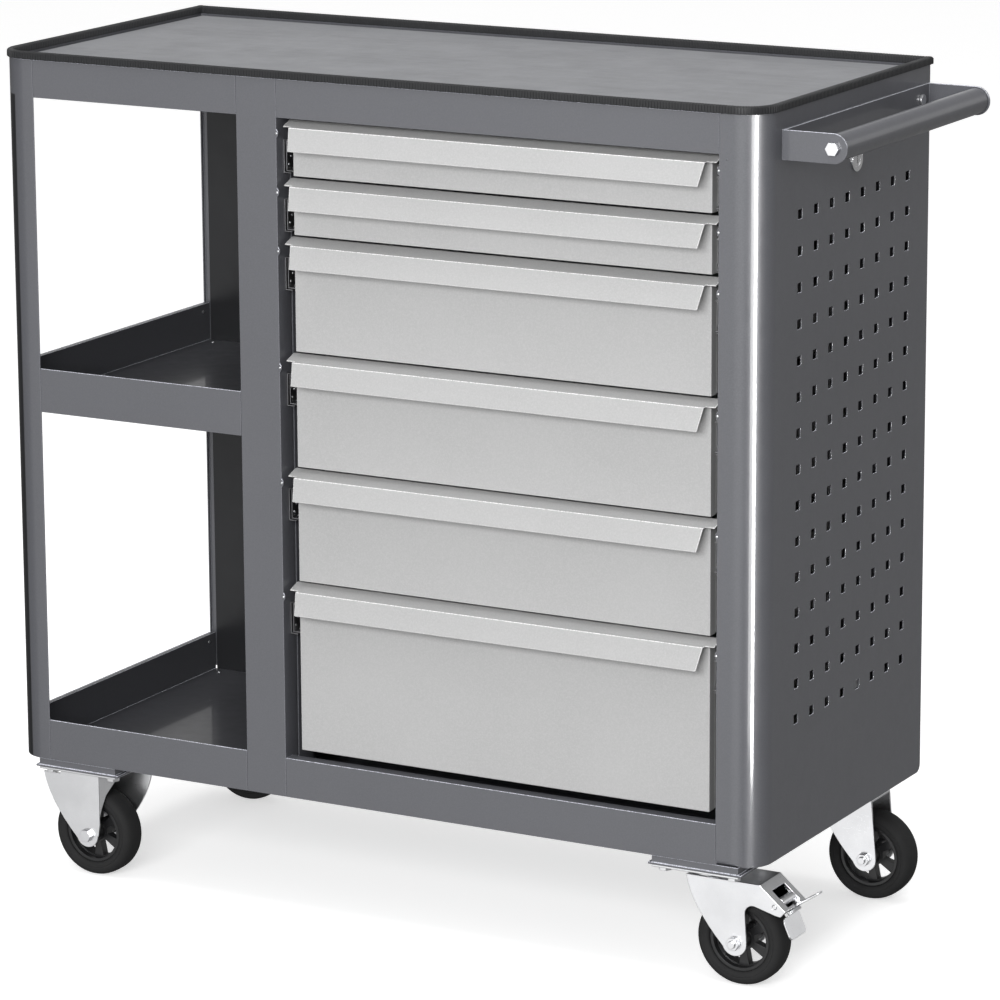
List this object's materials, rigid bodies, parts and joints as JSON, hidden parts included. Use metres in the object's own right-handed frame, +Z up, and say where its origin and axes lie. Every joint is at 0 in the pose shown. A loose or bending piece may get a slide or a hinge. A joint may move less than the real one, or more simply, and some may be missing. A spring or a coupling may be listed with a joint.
{
  "type": "tool cart",
  "caption": "Steel tool cart with drawers behind grip lips, two open tray compartments, a rubber-edged worktop, a perforated side, a push handle and casters.",
  "frame": {"origin": "on the floor, under the middle of the whole cart's bounding box, with the push handle and the grip lips included", "axes": "+X towards the push handle (the cart's right side), +Y towards the back, so the drawers pull out along -Y, +Z up"},
  "size_m": [0.995, 0.4226, 0.9316],
  "materials": {
    "cabinet_paint": "glossy dark grey powder coat with a fine orange peel",
    "drawer_paint": "satin light grey powder coat",
    "trim_rubber": "matt black ribbed rubber edge profile",
    "mat_rubber": "matt grey finely grained rubber mat",
    "zinc_steel": "bright zinc-plated pressed steel",
    "slide_steel": "dark greased steel slide",
    "lock_metal": "nickel-plated lock",
    "tyre_rubber": "matt dark grey solid rubber",
    "hub_plastic": "black moulded plastic"
  },
  "bodies": {
    "root": {"left_side_frame": "cabinet_paint", "right_side_panel": "cabinet_paint", "divider_panel": "cabinet_paint", "rear_panel": "cabinet_paint", "top_rail_left": "cabinet_paint", "top_rail_right": "cabinet_paint", "cabinet_floor": "cabinet_paint", "middle_tray": "cabinet_paint", "bottom_tray": "cabinet_paint", "worktop_tray": "cabinet_paint", "worktop_mat": "mat_rubber", "edge_trim": "trim_rubber", "slide_uprights": "cabinet_paint", "cabinet_rails": "slide_steel", "caster_pads": "cabinet_paint", "caster_bolts": "zinc_steel", "handle_bracket": "cabinet_paint", "handle_tube": "cabinet_paint", "handle_bolts": "zinc_steel", "lock_housing": "lock_metal", "lock_guides": "slide_steel", "fixed_forks": "zinc_steel", "fixed_axles": "zinc_steel", "swivel_plates": "zinc_steel", "kingpins": "zinc_steel"},
    "drawer_1": {"drawer_front_1": "drawer_paint", "drawer_box_1": "drawer_paint"},
    "slides_1": {"mid_rails_1": "slide_steel"},
    "drawer_2": {"drawer_front_2": "drawer_paint", "drawer_box_2": "drawer_paint"},
    "slides_2": {"mid_rails_2": "slide_steel"},
    "drawer_3": {"drawer_front_3": "drawer_paint", "drawer_box_3": "drawer_paint"},
    "slides_3": {"mid_rails_3": "slide_steel"},
    "drawer_4": {"drawer_front_4": "drawer_paint", "drawer_box_4": "drawer_paint"},
    "slides_4": {"mid_rails_4": "slide_steel"},
    "drawer_5": {"drawer_front_5": "drawer_paint", "drawer_box_5": "drawer_paint"},
    "slides_5": {"mid_rails_5": "slide_steel"},
    "drawer_6": {"drawer_front_6": "drawer_paint", "drawer_box_6": "drawer_paint"},
    "slides_6": {"mid_rails_6": "slide_steel"},
    "lock_plug": {"lock_plug": "lock_metal"},
    "lock_bar": {"lock_bar": "slide_steel"},
    "swivel_front": {"swivel_fork_front": "zinc_steel", "swivel_axle_front": "zinc_steel"},
    "swivel_rear": {"swivel_fork_rear": "zinc_steel", "swivel_axle_rear": "zinc_steel"},
    "wheel_front_left": {"tyre_front_left": "tyre_rubber", "hub_front_left": "hub_plastic"},
    "wheel_rear_left": {"tyre_rear_left": "tyre_rubber", "hub_rear_left": "hub_plastic"},
    "wheel_front_right": {"tyre_front_right": "tyre_rubber", "hub_front_right": "hub_plastic"},
    "wheel_rear_right": {"tyre_rear_right": "tyre_rubber", "hub_rear_right": "hub_plastic"},
    "brake_lever": {"brake_lever": "zinc_steel"}
  },
  "joints": [
    {"name": "drawer_1_slide", "type": "slide", "parent": "root", "child": "drawer_1", "axis": [0, -1, 0], "range_m": [0, 0.3]},
    {"name": "mid_rails_1_slide", "type": "slide", "parent": "root", "child": "slides_1", "axis": [0, -1, 0], "range_m": [0, 0.15]},
    {"name": "drawer_2_slide", "type": "slide", "parent": "root", "child": "drawer_2", "axis": [0, -1, 0], "range_m": [0, 0.3]},
    {"name": "mid_rails_2_slide", "type": "slide", "parent": "root", "child": "slides_2", "axis": [0, -1, 0], "range_m": [0, 0.15]},
    {"name": "drawer_3_slide", "type": "slide", "parent": "root", "child": "drawer_3", "axis": [0, -1, 0], "range_m": [0, 0.3]},
    {"name": "mid_rails_3_slide", "type": "slide", "parent": "root", "child": "slides_3", "axis": [0, -1, 0], "range_m": [0, 0.15]},
    {"name": "drawer_4_slide", "type": "slide", "parent": "root", "child": "drawer_4", "axis": [0, -1, 0], "range_m": [0, 0.3]},
    {"name": "mid_rails_4_slide", "type": "slide", "parent": "root", "child": "slides_4", "axis": [0, -1, 0], "range_m": [0, 0.15]},
    {"name": "drawer_5_slide", "type": "slide", "parent": "root", "child": "drawer_5", "axis": [0, -1, 0], "range_m": [0, 0.3]},
    {"name": "mid_rails_5_slide", "type": "slide", "parent": "root", "child": "slides_5", "axis": [0, -1, 0], "range_m": [0, 0.15]},
    {"name": "drawer_6_slide", "type": "slide", "parent": "root", "child": "drawer_6", "axis": [0, -1, 0], "range_m": [0, 0.3]},
    {"name": "mid_rails_6_slide", "type": "slide", "parent": "root", "child": "slides_6", "axis": [0, -1, 0], "range_m": [0, 0.15]},
    {"name": "lock_turn", "type": "hinge", "parent": "root", "child": "lock_plug", "pos_m": [0.425, 0.02075, 0.8479], "axis": [1, 0, 0], "range_deg": [0, 90]},
    {"name": "lock_bar_lift", "type": "slide", "parent": "root", "child": "lock_bar", "axis": [0, 0, 1], "range_m": [0, 0.009]},
    {"name": "swivel_front_turn", "type": "hinge", "parent": "root", "child": "swivel_front", "pos_m": [0.3515, -0.15825, 0.11], "axis": [0, 0, 1], "continuous": true},
    {"name": "swivel_rear_turn", "type": "hinge", "parent": "root", "child": "swivel_rear", "pos_m": [0.3515, 0.16575, 0.11], "axis": [0, 0, 1], "continuous": true},
    {"name": "wheel_front_left_spin", "type": "hinge", "parent": "root", "child": "wheel_front_left", "pos_m": [-0.4156, -0.15825, 0.05], "axis": [0, 1, 0], "continuous": true},
    {"name": "wheel_rear_left_spin", "type": "hinge", "parent": "root", "child": "wheel_rear_left", "pos_m": [-0.4156, 0.16575, 0.05], "axis": [0, 1, 0], "continuous": true},
    {"name": "wheel_front_right_spin", "type": "hinge", "parent": "swivel_front", "child": "wheel_front_right", "pos_m": [0.3895, -0.15825, 0.05], "axis": [0, 1, 0], "continuous": true},
    {"name": "wheel_rear_right_spin", "type": "hinge", "parent": "swivel_rear", "child": "wheel_rear_right", "pos_m": [0.3895, 0.16575, 0.05], "axis": [0, 1, 0], "continuous": true},
    {"name": "brake_press", "type": "hinge", "parent": "swivel_front", "child": "brake_lever", "pos_m": [0.4355, -0.15825, 0.096], "axis": [0, 1, 0], "range_deg": [0, 18]}
  ],
  "couplings": [
    {"joint": "mid_rails_1_slide", "follows": "drawer_1_slide", "ratio": 0.5},
    {"joint": "mid_rails_2_slide", "follows": "drawer_2_slide", "ratio": 0.5},
    {"joint": "mid_rails_3_slide", "follows": "drawer_3_slide", "ratio": 0.5},
    {"joint": "mid_rails_4_slide", "follows": "drawer_4_slide", "ratio": 0.5},
    {"joint": "mid_rails_5_slide", "follows": "drawer_5_slide", "ratio": 0.5},
    {"joint": "mid_rails_6_slide", "follows": "drawer_6_slide", "ratio": 0.5},
    {"joint": "lock_turn", "follows": "lock_bar_lift", "rad_per_m": 174.5}
  ]
}
